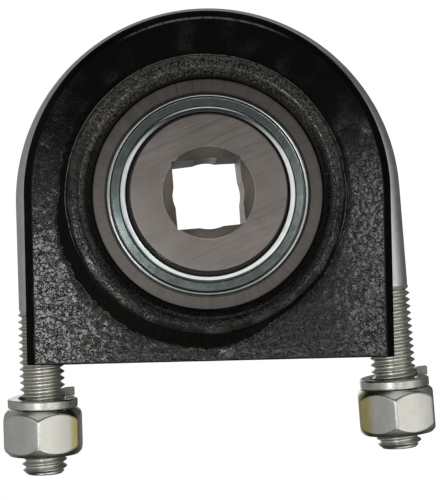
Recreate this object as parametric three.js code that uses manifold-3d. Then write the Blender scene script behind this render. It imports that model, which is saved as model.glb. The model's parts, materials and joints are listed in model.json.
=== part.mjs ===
// A square-bore ball bearing in a D-shaped cast housing, with the U-bolt that clamps the
// housing to a frame plate, its two spring lock washers and its two hex nuts.
// Millimetres. The origin is the middle of the housing's flat base, +Z is up, the front of the
// unit faces -Y, and +X is to the right of somebody looking at the front. The pieces are drawn
// about the centre of the bearing, which turns about Y, and the assembly raises them together
// by the height of that centre. In the lathe profiles a point is [radius, along the axis].

import * as THREE from "three";
import { mergeVertices } from "three/addons/utils/BufferGeometryUtils.js";
import Module from "manifold-3d";

const wasm = await Module();
wasm.setup();

// ---- Driving dimensions -------------------------------------------------------------------

// Bearing: a 208 size insert, 80 mm outside, with a wide inner ring for a 7/8 inch square axle.
const BALL_COUNT = 9;
const BALL_RADIUS = 5.953; // 15/32 inch balls
const PITCH_RADIUS = 30; // circle that the ball centres lie on
const RACEWAY_CLEARANCE = 0.2; // between a ball and the bottom of each raceway
const OUTER_RING_RADIUS = 40;
const OUTER_RING_HALF_WIDTH = 9;
const OUTER_LAND_RADIUS = 33.8; // outer ring's shoulders beside its raceway
const INNER_RING_HALF_WIDTH = 18.25; // 1.438 inch wide inner ring
const INNER_LAND_RADIUS = 26.4; // inner ring's outside, beside its raceway
const INNER_EDGE_BREAK = 0.85;
const SQUARE_BORE_SIDE = 22.8;
const SQUARE_BORE_TURN = THREE.MathUtils.degToRad(4.15); // counter-clockwise, seen from the front
const PILOT_HOLE_RADIUS = 12.05; // round hole that the square was broached from
const COUNTERSINK_RADIUS = 15.4;

// Shield and rubber seal, one of each on either side of the balls.
const SHIELD_SEAT_RADIUS = 34.95; // counterbore in the outer ring's faces
const SHIELD_SEAT_DEPTH = 1.4;
const SHIELD_OUTER_RADIUS = 34.6;
const SHIELD_INNER_RADIUS = 27.7;
const SEAL_INNER_RADIUS = 26.7;
const SEAL_OUTER_RADIUS = 31.5;

// Cage: two pressed halves riveted together between the balls.
const CAGE_INNER_RADIUS = 28.3;
const CAGE_OUTER_RADIUS = 31.7;
const CAGE_SHEET = 0.55;
const CAGE_HALF_GAP = 0.15; // from the middle plane to each half
const POCKET_RADIUS = 6.4; // inside of the pocket round a ball
const RIVET_RADIUS = 0.9;
const RIVET_HOLE_RADIUS = 1.2;
const RIVET_HEAD_RADIUS = 1.6;

// Housing: an arch over the bearing, straight sides and a flat base.
const ARCH_RADIUS = 62; // outside of the arch, and half the width across the sides
const BASE_DROP = 56.3; // from the bearing's axis down to the base
const WEB_HALF_DEPTH = 13.5; // middle plane to the flat front and back faces
const RIM_CHAMFER_WIDTH = 2.9; // across the face
const RIM_CHAMFER_DEPTH = 2.6; // along the bearing axis
const HUB_RADIUS = 47.4; // raised ring round the bearing, where it meets the web
const HUB_CREST_RADIUS = 43.4;
const HUB_CREST_DEPTH = 15.4;
const HUB_MOUTH_DEPTH = 10.4; // the ring's inside starts to flare at this depth
const SEAT_CLEARANCE = 0.25; // drawn gap round the pressed-in outer ring
const SEAT_SHOULDER_RADIUS = 36.6; // shoulder behind the outer ring
const GROOVE_RADIUS = 50.3; // bottom of the groove that holds the U-bolt
const GROOVE_HALF_WIDTH = 8.1;

// U-bolt, 5/8 inch rod with rolled 5/8-11 threads.
const ROD_RADIUS = 7.2;
const THREAD_RADIUS = 7.75;
const THREAD_LENGTH = 57;
const THREAD_END_CHAMFER = 1.6;
const BEND_RADIUS = 59.15; // centre line of the bend
const BEND_CENTRE = [0.5, -1.4]; // x and z
const U_BOLT_SKEW = THREE.MathUtils.degToRad(1.9); // counter-clockwise, seen from the front
const LEG_SPLAY = THREE.MathUtils.degToRad(1.4); // each leg, outwards
const LEG_LENGTHS = { left: 92.2, right: 90.6 };

// Washers and nuts. Places are distances down a leg from the end of the bend.
const WASHER_TOP = 66.7;
const WASHER_THICKNESS = 3.2;
const WASHER_INNER_RADIUS = 8.2;
const WASHER_OUTER_RADIUS = 12;
const WASHER_SPLITS = { left: 31, right: 7.5 }; // degrees from +X towards +Y to the raised end
const WASHER_GAP = THREE.MathUtils.degToRad(7);
const WASHER_RISE = 3.3; // how far the raised end stands above the flat part
const NUT_TOP = 70.1;
const NUT_HEIGHT = 15.5;
const NUT_ACROSS_FLATS = 26;
const NUT_BORE_RADIUS = 8.05;
const NUT_CHAMFER_WIDTH = 2.4; // in from the corners
const NUT_CHAMFER_HEIGHT = 1.7;
const NUT_TURNS = { left: 28.8, right: -39.7 }; // degrees from +X towards +Y to a corner

// How finely round shapes are divided.
const RING_SEGMENTS = 48;
const SEAL_SEGMENTS = 36;
const NUT_SEGMENTS = 24;
const PILOT_SEGMENTS = 24;
const RIVET_SEGMENTS = 9;
const ARCH_SEGMENTS = 22; // quarter of the way round
const BALL_SEGMENTS = [12, 9];
const POCKET_SEGMENTS = [12, 8];

// ---- Helpers ------------------------------------------------------------------------------

// A body of revolution about Y. The profile runs counter-clockwise, radius to the right.
function turned(profile, segments = RING_SEGMENTS) {
  const points = profile.map(([radius, along]) => new THREE.Vector2(radius, along));
  return new THREE.LatheGeometry(points, segments);
}

// A ring: a profile that closes on itself clear of the axis.
function turnedRing(profile, segments = RING_SEGMENTS) {
  return turned([...profile, profile[0]], segments);
}

// The same profile on the back of the unit, still counter-clockwise.
function mirrored(profile) {
  return profile.map(([radius, along]) => [radius, -along]).reverse();
}

function arcPoints(centreRadius, radius, fromDegrees, toDegrees, count) {
  const points = [];
  for (let i = 0; i <= count; i++) {
    const angle = THREE.MathUtils.degToRad(fromDegrees + ((toDegrees - fromDegrees) * i) / count);
    points.push([centreRadius + radius * Math.cos(angle), radius * Math.sin(angle)]);
  }
  return points;
}

function solidFrom(geometry) {
  const bare = geometry.clone();
  bare.deleteAttribute("normal");
  bare.deleteAttribute("uv");
  const merged = mergeVertices(bare, 1e-4);
  return new wasm.Manifold(
    new wasm.Mesh({
      numProp: 3,
      vertProperties: merged.attributes.position.array,
      triVerts: new Uint32Array(merged.index.array),
    }),
  );
}

function geometryFrom(solid) {
  const mesh = solid.getMesh();
  const geometry = new THREE.BufferGeometry();
  geometry.setAttribute("position", new THREE.BufferAttribute(mesh.vertProperties, mesh.numProp));
  geometry.setIndex(new THREE.BufferAttribute(mesh.triVerts, 1));
  geometry.computeVertexNormals();
  return geometry;
}

function material(color, roughness, metalness) {
  return () => new THREE.MeshStandardMaterial({ color, roughness, metalness });
}

const blackPaint = material(0x141415, 0.35, 0.0);
const groundSteel = material(0x8a8580, 0.35, 1.0);
const ballSteel = material(0xb9bcc0, 0.12, 1.0);
const pressedSteel = material(0x9aa0a2, 0.4, 1.0);
const zincShield = material(0x8f9c9c, 0.3, 1.0);
const blackRubber = material(0x1c1c1d, 0.7, 0.0);
const zincRod = material(0xa7abae, 0.38, 1.0);
const zincHardware = material(0xc3c4bf, 0.3, 1.0);

function addPiece(parent, name, geometry, makeMaterial) {
  const mesh = new THREE.Mesh(geometry, makeMaterial());
  mesh.name = name;
  parent.add(mesh);
  return mesh;
}

// ---- Housing ------------------------------------------------------------------------------

// The outline of the housing seen from the front, with its foot at the given height.
function archShape(radius, foot) {
  const shape = new THREE.Shape();
  shape.moveTo(-radius, foot);
  shape.lineTo(radius, foot);
  shape.lineTo(radius, 0);
  shape.absarc(0, 0, radius, 0, Math.PI, false);
  shape.closePath();
  return shape;
}

// Extrudes an outline drawn in X and Z, equally to the front and the back.
function extrudedAcross(shape, halfDepth, bevel = {}) {
  const thickness = bevel.bevelThickness ?? 0;
  const geometry = new THREE.ExtrudeGeometry(shape, {
    depth: 2 * (halfDepth - thickness),
    curveSegments: ARCH_SEGMENTS,
    bevelEnabled: thickness > 0,
    ...bevel,
  });
  geometry.translate(0, 0, thickness - halfDepth);
  geometry.rotateX(Math.PI / 2);
  return geometry;
}

function housingGeometry() {
  const spare = 12; // how far the raw casting and the cutters run past the base

  const body = solidFrom(
    extrudedAcross(archShape(ARCH_RADIUS, -BASE_DROP - spare), WEB_HALF_DEPTH, {
      bevelThickness: RIM_CHAMFER_DEPTH,
      bevelSize: RIM_CHAMFER_WIDTH,
      bevelOffset: -RIM_CHAMFER_WIDTH,
      bevelSegments: 1,
    }),
  );

  const hubBack = [
    [HUB_RADIUS, WEB_HALF_DEPTH - 1],
    [HUB_RADIUS - 0.5, WEB_HALF_DEPTH + 1],
    [HUB_RADIUS - 2, HUB_CREST_DEPTH - 0.5],
    [HUB_CREST_RADIUS, HUB_CREST_DEPTH],
    [0, HUB_CREST_DEPTH],
  ];
  const hub = solidFrom(turned([...mirrored(hubBack), ...hubBack]));

  const belowBase = new THREE.BoxGeometry(4 * ARCH_RADIUS, 4 * WEB_HALF_DEPTH, 2 * spare);
  belowBase.translate(0, 0, -BASE_DROP - spare);

  // Seat for the outer ring, its back shoulder, and the flare inside each end of the hub.
  const seatRadius = OUTER_RING_RADIUS + SEAT_CLEARANCE;
  const seatHalfWidth = OUTER_RING_HALF_WIDTH + SEAT_CLEARANCE;
  const past = HUB_CREST_DEPTH + 1;
  const seat = solidFrom(
    turned([
      [0, -past],
      [HUB_CREST_RADIUS, -past],
      [HUB_CREST_RADIUS - 0.4, -HUB_CREST_DEPTH],
      [seatRadius, -HUB_MOUTH_DEPTH],
      [seatRadius, seatHalfWidth],
      [SEAT_SHOULDER_RADIUS, seatHalfWidth],
      [SEAT_SHOULDER_RADIUS, HUB_MOUTH_DEPTH + 0.8],
      [HUB_CREST_RADIUS - 0.4, HUB_CREST_DEPTH],
      [HUB_CREST_RADIUS, past],
      [0, past],
    ]),
  );

  // Groove in the rim, open at the base so that the legs can leave it.
  const wide = archShape(ARCH_RADIUS + spare, -BASE_DROP - 3 * spare);
  const core = solidFrom(
    extrudedAcross(archShape(GROOVE_RADIUS, -BASE_DROP - 4 * spare), GROOVE_HALF_WIDTH + 1),
  );
  const groove = solidFrom(extrudedAcross(wide, GROOVE_HALF_WIDTH)).subtract(core);

  return geometryFrom(
    body.add(hub).subtract(solidFrom(belowBase)).subtract(seat).subtract(groove),
  );
}

// ---- Bearing ------------------------------------------------------------------------------

const racewayRadius = BALL_RADIUS + RACEWAY_CLEARANCE;

// Half the angle that a raceway spans before it meets a land, about the ball's centre.
function racewayHalfAngle(landRadius) {
  return THREE.MathUtils.radToDeg(Math.acos(Math.abs(landRadius - PITCH_RADIUS) / racewayRadius));
}

function outerRingGeometry() {
  const cornerWidth = 1.25;
  const half = OUTER_RING_HALF_WIDTH;
  const side = [
    [OUTER_RING_RADIUS, half - cornerWidth],
    [OUTER_RING_RADIUS - cornerWidth, half],
    [SHIELD_SEAT_RADIUS, half],
    [SHIELD_SEAT_RADIUS, half - SHIELD_SEAT_DEPTH],
    [OUTER_LAND_RADIUS, half - SHIELD_SEAT_DEPTH],
  ];
  const angle = racewayHalfAngle(OUTER_LAND_RADIUS);
  const raceway = arcPoints(PITCH_RADIUS, racewayRadius, angle, -angle, 7);
  return turnedRing([...side, ...raceway, ...mirrored(side)]);
}

function innerRingGeometry() {
  const half = INNER_RING_HALF_WIDTH;
  const angle = racewayHalfAngle(INNER_LAND_RADIUS);
  const raceway = arcPoints(PITCH_RADIUS, racewayRadius, 180 + angle, 180 - angle, 7);
  const end = [
    [INNER_LAND_RADIUS, half - INNER_EDGE_BREAK],
    [INNER_LAND_RADIUS - INNER_EDGE_BREAK, half],
    [0, half],
  ];
  const blank = solidFrom(turned([...mirrored(end), ...raceway, ...end]));

  const square = new THREE.BoxGeometry(SQUARE_BORE_SIDE, 4 * half, SQUARE_BORE_SIDE);
  square.rotateY(-SQUARE_BORE_TURN);
  const pilot = turned(
    [
      [0, -half - 1],
      [PILOT_HOLE_RADIUS, -half - 1],
      [PILOT_HOLE_RADIUS, half + 1],
      [0, half + 1],
    ],
    PILOT_SEGMENTS,
  );

  // A 90 degree countersink at each end, drawn a little past the face.
  const past = 1;
  const depth = COUNTERSINK_RADIUS - 0.4 * SQUARE_BORE_SIDE;
  const sink = [
    [0, half - depth],
    [COUNTERSINK_RADIUS - depth, half - depth],
    [COUNTERSINK_RADIUS + past, half + past],
    [0, half + past],
  ];

  return geometryFrom(
    blank
      .subtract(solidFrom(square))
      .subtract(solidFrom(pilot))
      .subtract(solidFrom(turned(sink)))
      .subtract(solidFrom(turned(mirrored(sink)))),
  );
}

// Angles of the balls on the pitch circle, from +X towards +Z, the first one at the top.
const ballStep = (2 * Math.PI) / BALL_COUNT;
const ballAngles = Array.from({ length: BALL_COUNT }, (_, i) => Math.PI / 2 + i * ballStep);

function onPitchCircle(angle) {
  return new THREE.Vector3(PITCH_RADIUS * Math.cos(angle), 0, PITCH_RADIUS * Math.sin(angle));
}

function placedOnPitchCircle(geometry, angle) {
  const place = onPitchCircle(angle);
  return solidFrom(geometry.clone().translate(place.x, place.y, place.z));
}

// The front half of the cage: flat lands between the balls and a cup over each ball.
function cageFrontGeometry() {
  const nearSide = -CAGE_HALF_GAP;
  const band = (depth) =>
    solidFrom(
      turnedRing([
        [CAGE_OUTER_RADIUS, nearSide - depth],
        [CAGE_OUTER_RADIUS, nearSide],
        [CAGE_INNER_RADIUS, nearSide],
        [CAGE_INNER_RADIUS, nearSide - depth],
      ]),
    );
  const cup = new THREE.SphereGeometry(POCKET_RADIUS + CAGE_SHEET, ...POCKET_SEGMENTS);
  const pocket = new THREE.SphereGeometry(POCKET_RADIUS, ...POCKET_SEGMENTS);
  const hole = new THREE.CylinderGeometry(RIVET_HOLE_RADIUS, RIVET_HOLE_RADIUS, 4, RIVET_SEGMENTS);
  const tallBand = band(POCKET_RADIUS + 2 * CAGE_SHEET);

  let cage = band(CAGE_SHEET);
  for (const angle of ballAngles) {
    cage = cage.add(placedOnPitchCircle(cup, angle).intersect(tallBand));
  }
  for (const angle of ballAngles) {
    cage = cage.subtract(placedOnPitchCircle(pocket, angle));
    cage = cage.subtract(placedOnPitchCircle(hole, angle + ballStep / 2));
  }
  return geometryFrom(cage);
}

function cageRivetGeometry() {
  const underHead = CAGE_HALF_GAP + CAGE_SHEET + 0.1;
  const end = [
    [RIVET_RADIUS, underHead],
    [RIVET_HEAD_RADIUS, underHead],
    [RIVET_HEAD_RADIUS - 0.4, underHead + 0.6],
    [0, underHead + 0.6],
  ];
  return turned([...mirrored(end), ...end], RIVET_SEGMENTS);
}

// The pressed shield on the back: crimped rim, shallow dish and a rolled inner lip.
function shieldBackProfile() {
  const face = OUTER_RING_HALF_WIDTH;
  const sheet = 0.6;
  const dishRadii = [32.6, 30.2];
  const lipCrestRadius = 28.8;
  return [
    [SHIELD_OUTER_RADIUS, face - 1.1],
    [SHIELD_OUTER_RADIUS, face - 0.4],
    [dishRadii[0] + 0.6, face - 0.2],
    [dishRadii[0], face - 0.7],
    [dishRadii[1], face - 0.7],
    [dishRadii[1] - 0.5, face - 0.1],
    [lipCrestRadius, face + 0.3],
    [SHIELD_INNER_RADIUS, face - 0.5],
    [SHIELD_INNER_RADIUS, face - 0.5 - sheet],
    [dishRadii[1] - 0.8, face - 0.7 - sheet],
    [dishRadii[0], face - 0.7 - sheet],
  ];
}

// The moulded seal behind the back shield, with its lip towards the inner ring.
function sealBackProfile() {
  const inside = 7.2;
  const thickness = 0.4;
  const lipLength = 1.4;
  return [
    [SEAL_OUTER_RADIUS, inside],
    [SEAL_OUTER_RADIUS, inside + thickness],
    [SEAL_INNER_RADIUS + lipLength, inside + thickness],
    [SEAL_INNER_RADIUS, inside + 2 * thickness],
    [SEAL_INNER_RADIUS, inside + 0.1],
    [SEAL_INNER_RADIUS + lipLength, inside],
  ];
}

// ---- U-bolt and its fasteners ---------------------------------------------------------------

// Centre line of the rod in the U-bolt's own frame: up the left leg, over the bend and down
// the right leg. The bend stops short of a half turn by the splay of each leg.
class RodCentreLine extends THREE.Curve {
  getPoint(t, target = new THREE.Vector3()) {
    const bendLength = BEND_RADIUS * (Math.PI - 2 * LEG_SPLAY);
    const total = LEG_LENGTHS.left + bendLength + LEG_LENGTHS.right;
    const along = t * total - LEG_LENGTHS.left;
    if (along < 0) return this.downLeg(-1, -along, target);
    if (along > bendLength) return this.downLeg(1, along - bendLength, target);
    const angle = Math.PI - LEG_SPLAY - along / BEND_RADIUS;
    return target.set(BEND_RADIUS * Math.cos(angle), 0, BEND_RADIUS * Math.sin(angle));
  }

  downLeg(side, distance, target) {
    const x = BEND_RADIUS * Math.cos(LEG_SPLAY) + distance * Math.sin(LEG_SPLAY);
    const z = BEND_RADIUS * Math.sin(LEG_SPLAY) - distance * Math.cos(LEG_SPLAY);
    return target.set(side * x, 0, z);
  }
}

// Places a body that stands on Z, its top at 0, on a leg.
function ontoLeg(geometry, side) {
  const start = new RodCentreLine().downLeg(side, 0, new THREE.Vector3());
  geometry.rotateY(-side * LEG_SPLAY);
  geometry.translate(start.x, start.y, start.z);
  return geometry;
}

function uBoltGeometry() {
  const sides = 14;
  const stations = 44;
  const section = new THREE.Shape();
  section.absarc(0, 0, ROD_RADIUS, 0, 2 * Math.PI, false);
  const rod = new THREE.ExtrudeGeometry(section, {
    steps: stations,
    curveSegments: sides / 2,
    extrudePath: new RodCentreLine(),
  });

  const thread = (side, legLength) => {
    const end = -legLength - 0.05;
    const profile = [
      [0, end],
      [THREAD_RADIUS - THREAD_END_CHAMFER, end],
      [THREAD_RADIUS, end + THREAD_END_CHAMFER],
      [THREAD_RADIUS, end + THREAD_LENGTH],
      [0, end + THREAD_LENGTH],
    ];
    const geometry = turned(profile, 20);
    geometry.rotateX(Math.PI / 2);
    return solidFrom(ontoLeg(geometry, side));
  };

  // The rod's own square ends are cut away where the thread's end is chamfered.
  const endCutter = (side, legLength) => {
    const length = 2 * THREAD_END_CHAMFER;
    const geometry = new THREE.CylinderGeometry(2 * ROD_RADIUS, 2 * ROD_RADIUS, length, 20);
    geometry.rotateX(Math.PI / 2);
    geometry.translate(0, 0, -legLength);
    return solidFrom(ontoLeg(geometry, side));
  };

  return geometryFrom(
    solidFrom(rod)
      .subtract(endCutter(-1, LEG_LENGTHS.left))
      .subtract(endCutter(1, LEG_LENGTHS.right))
      .add(thread(-1, LEG_LENGTHS.left))
      .add(thread(1, LEG_LENGTHS.right)),
  );
}

// A split spring washer: a flat ring cut through, its end past the cut bent upwards. The
// origin is on the leg's axis, in the plane of the washer's flat underside.
function lockWasherGeometry(splitDegrees) {
  const from = THREE.MathUtils.degToRad(splitDegrees);
  const to = from + 2 * Math.PI - WASHER_GAP;
  const ring = new THREE.Shape();
  ring.absarc(0, 0, WASHER_OUTER_RADIUS, from, to, false);
  ring.absarc(0, 0, WASHER_INNER_RADIUS, to, from, true);
  ring.closePath();
  const geometry = new THREE.ExtrudeGeometry(ring, {
    depth: WASHER_THICKNESS,
    curveSegments: 15,
    bevelEnabled: false,
  });

  const position = geometry.attributes.position;
  for (let i = 0; i < position.count; i++) {
    const x = position.getX(i);
    const y = position.getY(i);
    const angle = THREE.MathUtils.euclideanModulo(Math.atan2(y, x) - from + 1e-4, 2 * Math.PI);
    const toRaisedEnd = 1 - angle / (to - from);
    position.setZ(i, position.getZ(i) + WASHER_RISE * Math.max(0, toRaisedEnd) ** 4);
  }
  return geometry;
}

// A heavy hex nut with both ends chamfered. The origin is on its axis, at half its height.
function hexNutGeometry(turnDegrees) {
  const half = NUT_HEIGHT / 2;
  const cornerRadius = NUT_ACROSS_FLATS / 2 / Math.cos(Math.PI / 6);
  const hex = new THREE.CylinderGeometry(cornerRadius, cornerRadius, NUT_HEIGHT, 6);
  hex.rotateY(Math.PI / 2 + THREE.MathUtils.degToRad(turnDegrees));

  const blank = turned(
    [
      [0, -half],
      [cornerRadius - NUT_CHAMFER_WIDTH, -half],
      [cornerRadius + 0.1, -half + NUT_CHAMFER_HEIGHT],
      [cornerRadius + 0.1, half - NUT_CHAMFER_HEIGHT],
      [cornerRadius - NUT_CHAMFER_WIDTH, half],
      [0, half],
    ],
    NUT_SEGMENTS,
  );
  const mouth = 1;
  const bore = turned(
    [
      [0, -half - 0.1],
      [NUT_BORE_RADIUS + mouth, -half - 0.1],
      [NUT_BORE_RADIUS, -half + mouth],
      [NUT_BORE_RADIUS, half - mouth],
      [NUT_BORE_RADIUS + mouth, half + 0.1],
      [0, half + 0.1],
    ],
    NUT_SEGMENTS,
  );
  const geometry = geometryFrom(
    solidFrom(hex).intersect(solidFrom(blank)).subtract(solidFrom(bore)),
  );
  geometry.rotateX(Math.PI / 2);
  return geometry;
}

// ---- Assembly -----------------------------------------------------------------------------

const unit = new THREE.Group();
unit.name = "flange_mount_bearing";
const aboutBearing = new THREE.Group(); // its origin is the centre of the bearing
aboutBearing.position.z = BASE_DROP;
unit.add(aboutBearing);

addPiece(aboutBearing, "housing", housingGeometry(), blackPaint);

addPiece(aboutBearing, "outer_ring", outerRingGeometry(), groundSteel);
addPiece(aboutBearing, "inner_ring", innerRingGeometry(), groundSteel);
addPiece(aboutBearing, "cage_front_half", cageFrontGeometry(), pressedSteel);
const cageBackHalf = addPiece(aboutBearing, "cage_back_half", cageFrontGeometry(), pressedSteel);
cageBackHalf.rotation.z = Math.PI; // the pattern of balls is the same on both sides of Z

ballAngles.forEach((angle, i) => {
  const ball = new THREE.SphereGeometry(BALL_RADIUS, ...BALL_SEGMENTS);
  addPiece(aboutBearing, `ball_${i + 1}`, ball, ballSteel).position.copy(onPitchCircle(angle));
  const rivet = addPiece(aboutBearing, `cage_rivet_${i + 1}`, cageRivetGeometry(), pressedSteel);
  rivet.position.copy(onPitchCircle(angle + ballStep / 2));
});

for (const [name, profileFor] of [["front", mirrored], ["back", (profile) => profile]]) {
  const shield = turnedRing(profileFor(shieldBackProfile()));
  addPiece(aboutBearing, `shield_${name}`, shield, zincShield);
  const seal = turnedRing(profileFor(sealBackProfile()), SEAL_SEGMENTS);
  addPiece(aboutBearing, `seal_${name}`, seal, blackRubber);
}

const clamp = new THREE.Group();
clamp.position.set(BEND_CENTRE[0], 0, BEND_CENTRE[1]);
clamp.rotation.y = -U_BOLT_SKEW;
aboutBearing.add(clamp);
addPiece(clamp, "u_bolt", uBoltGeometry(), zincRod);

for (const [name, side] of [["left", -1], ["right", 1]]) {
  const leg = new THREE.Group(); // stands on the leg's axis, at the end of the bend
  new RodCentreLine().downLeg(side, 0, leg.position);
  leg.rotation.y = -side * LEG_SPLAY;
  clamp.add(leg);
  const split = WASHER_SPLITS[name];
  const washer = addPiece(leg, `lock_washer_${name}`, lockWasherGeometry(split), zincHardware);
  washer.position.z = -WASHER_TOP - WASHER_THICKNESS;
  const nut = addPiece(leg, `hex_nut_${name}`, hexNutGeometry(NUT_TURNS[name]), zincHardware);
  nut.position.z = -NUT_TOP - NUT_HEIGHT / 2;
}

export default unit;
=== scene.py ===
"""Looks of the square-bore bearing unit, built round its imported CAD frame.

The unit faces -Y and +Z is up. Shapes are worked out in millimetres from the centre of the bearing,
and add_piece moves them to the frame and makes them metres. In the turned profiles a point is
(radius, distance along Y), and on a leg of the U-bolt heights run up the leg's own axis.
"""

import json
import math

import bmesh
import bpy
import numpy as np
from mathutils import Matrix, Vector, noise

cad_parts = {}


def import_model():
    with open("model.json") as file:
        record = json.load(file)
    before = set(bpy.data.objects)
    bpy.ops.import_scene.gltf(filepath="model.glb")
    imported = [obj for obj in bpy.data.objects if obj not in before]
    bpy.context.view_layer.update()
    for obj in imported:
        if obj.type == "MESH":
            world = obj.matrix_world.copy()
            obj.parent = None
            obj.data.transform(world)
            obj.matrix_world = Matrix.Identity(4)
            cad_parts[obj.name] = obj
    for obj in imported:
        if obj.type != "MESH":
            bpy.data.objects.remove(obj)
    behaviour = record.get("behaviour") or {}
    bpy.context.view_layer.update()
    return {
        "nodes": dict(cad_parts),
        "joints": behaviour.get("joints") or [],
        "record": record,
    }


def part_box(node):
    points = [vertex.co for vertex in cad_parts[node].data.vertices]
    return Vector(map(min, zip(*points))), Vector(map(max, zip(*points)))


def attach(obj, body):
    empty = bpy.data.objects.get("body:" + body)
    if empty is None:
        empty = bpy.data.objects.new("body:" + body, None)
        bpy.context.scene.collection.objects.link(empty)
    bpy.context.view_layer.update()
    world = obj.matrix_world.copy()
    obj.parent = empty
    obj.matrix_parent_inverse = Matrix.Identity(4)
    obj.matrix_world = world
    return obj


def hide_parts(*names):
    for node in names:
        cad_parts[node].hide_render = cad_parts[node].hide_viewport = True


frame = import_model()

MM = 0.001
BODIES = frame["record"]["behaviour"]["bodies"]
BODY_OF = {node: name for name, nodes in BODIES.items() for node in nodes}


# ---- Sizes read from the frame ----


AXIS = Vector((0, 0, sum(corner.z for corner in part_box("outer_ring")) / 2 / MM))


def box_mm(node):
    """Low and high corner of a CAD node, in millimetres from the centre of the bearing."""
    low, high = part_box(node)
    return low / MM - AXIS, high / MM - AXIS


def vertices_mm(node):
    """The vertices of a CAD node, in millimetres from the centre of the bearing."""
    return np.array([v.co for v in frame["nodes"][node].data.vertices]) / MM - np.array(AXIS)


ARCH_RADIUS = box_mm("housing")[1].x
HUB_CREST_DEPTH = box_mm("housing")[1].y
BASE_Z = box_mm("housing")[0].z
OUTER_RING_RADIUS = box_mm("outer_ring")[1].x
OUTER_RING_HALF = box_mm("outer_ring")[1].y
INNER_RING_RADIUS = box_mm("inner_ring")[1].x
INNER_RING_HALF = box_mm("inner_ring")[1].y
SHIELD_RADIUS = box_mm("shield_back")[1].x
SEAL_RADIUS = box_mm("seal_back")[1].x
THREAD_RADIUS = box_mm("u_bolt")[1].y
BALL_BOTTOM, BALL_TOP = (corner.z for corner in box_mm("ball_1"))
BALL_RADIUS = (BALL_TOP - BALL_BOTTOM) / 2
PITCH_RADIUS = (BALL_TOP + BALL_BOTTOM) / 2
BALL_COUNT = sum(name.startswith("ball_") for name in frame["nodes"])

# Housing
WEB_HALF = 13.5
CHAMFER_WIDTH = 2.9
CHAMFER_DEPTH = 2.6
HUB_RADIUS = 47.1
HUB_CREST_RADIUS = 43.4
HUB_THROAT_DEPTH = 12.2  # where the hub's inner slope starts
SEAT_RADIUS = OUTER_RING_RADIUS + 0.2
SEAT_SHOULDER_RADIUS = 36.6
MOUTH_RADIUS = 39.5  # a bead of paint laps the ring's rounded corner
GROOVE_INSET = 11.7
GROOVE_HALF = 8.1
WEB_SHIFT = np.array([-0.7, -0.4])  # X and Z from the axis to the middle of the web's inner edge
DROP = (5.2, -53.6)  # X and Z of a drop of paint on the front, just over the base

# Shields
DISH_INNER = 30.1
DISH_OUTER = 32.5

# Inner ring
BORE_SIDE = 22.8
BORE_TURN = math.radians(4.15)
PILOT_RADIUS = 12.05
SINK_RADIUS = 15.4

# Thread of the U-bolt
PITCH = 25.4 / 11
ROD_RADIUS = 7.2
THREAD_ROOT = 6.33
THREAD_LENGTH = 57.0
THREAD_CHAMFER = 1.75
CREST_SHARE = 0.045  # of the pitch, from the middle of the crest to its edge
ROOT_SHARE = 0.42  # and to the edge of the root


# ---- Mesh building ----


def grid(rows, columns, wrap_rows=False, wrap_columns=False):
    """Quads of a grid of points stored row by row."""
    i = np.arange(rows if wrap_rows else rows - 1)
    j = np.arange(columns if wrap_columns else columns - 1)
    i, j = np.meshgrid(i, j, indexing="ij")
    below, right = (i + 1) % rows, (j + 1) % columns
    here, under = i * columns, below * columns
    return np.stack([here + j, here + right, under + right, under + j], -1).reshape(-1, 4)


def filleted(corners, step=12.0):
    """Points of a closed outline through corners of (radius, along, fillet), fillets as arcs."""
    points = []
    for i, (across, along, fillet) in enumerate(corners):
        here = np.array([across, along])
        if fillet <= 0:
            points.append(here)
            continue
        back = np.array(corners[i - 1][:2]) - here
        ahead = np.array(corners[(i + 1) % len(corners)][:2]) - here
        back /= np.linalg.norm(back)
        ahead /= np.linalg.norm(ahead)
        half = math.acos(np.clip(back @ ahead, -1, 1)) / 2
        middle = (back + ahead) / np.linalg.norm(back + ahead)
        centre = here + middle * fillet / math.sin(half)
        start = here + back * fillet / math.tan(half) - centre
        end = here + ahead * fillet / math.tan(half) - centre
        turn = math.atan2(start[0] * end[1] - start[1] * end[0], start @ end)
        count = max(2, math.ceil(abs(math.degrees(turn)) / step))
        for k in range(count + 1):
            a = turn * k / count
            c, s = math.cos(a), math.sin(a)
            points.append(centre + (start[0] * c - start[1] * s, start[0] * s + start[1] * c))
    return np.array(points)


def revolved(profile, steps):
    """Points and quads of a closed (radius, along Y) outline turned about Y."""
    angles = np.linspace(0, 2 * math.pi, steps, endpoint=False)
    radius, along = np.array(profile).T
    x, z = np.outer(np.cos(angles), radius), np.outer(np.sin(angles), radius)
    points = np.stack([x, np.tile(along, (steps, 1)), z], -1)
    return points.reshape(-1, 3), grid(steps, len(radius), True, True)


def add_piece(name, node, points, quads, materials, face_material=None, sharp=28):
    """A closed mesh that stands for a CAD node. face_material is each quad's place in materials.

    Points that coincide are joined, and quads that this leaves without area are dropped.
    """
    mesh = bpy.data.meshes.new(name)
    points = (np.asarray(points, float) + np.array(AXIS)) * MM
    key = np.round(points / (1e-4 * MM)).astype(np.int64)
    _, first, same = np.unique(key, axis=0, return_index=True, return_inverse=True)
    faces, kinds = [], []
    if face_material is None:
        face_material = np.zeros(len(quads), int)
    for quad, kind in zip(same.ravel()[quads].tolist(), face_material):
        corners = [v for k, v in enumerate(quad) if v != quad[k - 1]]
        if len(corners) > 2 and len(set(corners)) == len(corners):
            faces.append(corners)
            kinds.append(int(kind))
    mesh.from_pydata(points[first].tolist(), [], faces)
    mesh.polygons.foreach_set("material_index", kinds)
    for material in materials:
        mesh.materials.append(material)
    piece = bpy.data.objects.new(name, mesh)
    bpy.context.scene.collection.objects.link(piece)
    face_outwards(mesh)
    mesh.shade_smooth()
    mesh.set_sharp_from_angle(angle=math.radians(sharp))
    piece.modifiers.new("flats_stay_flat", "WEIGHTED_NORMAL").keep_sharp = True
    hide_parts(node)
    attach(piece, BODY_OF[node])
    return piece, first


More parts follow.
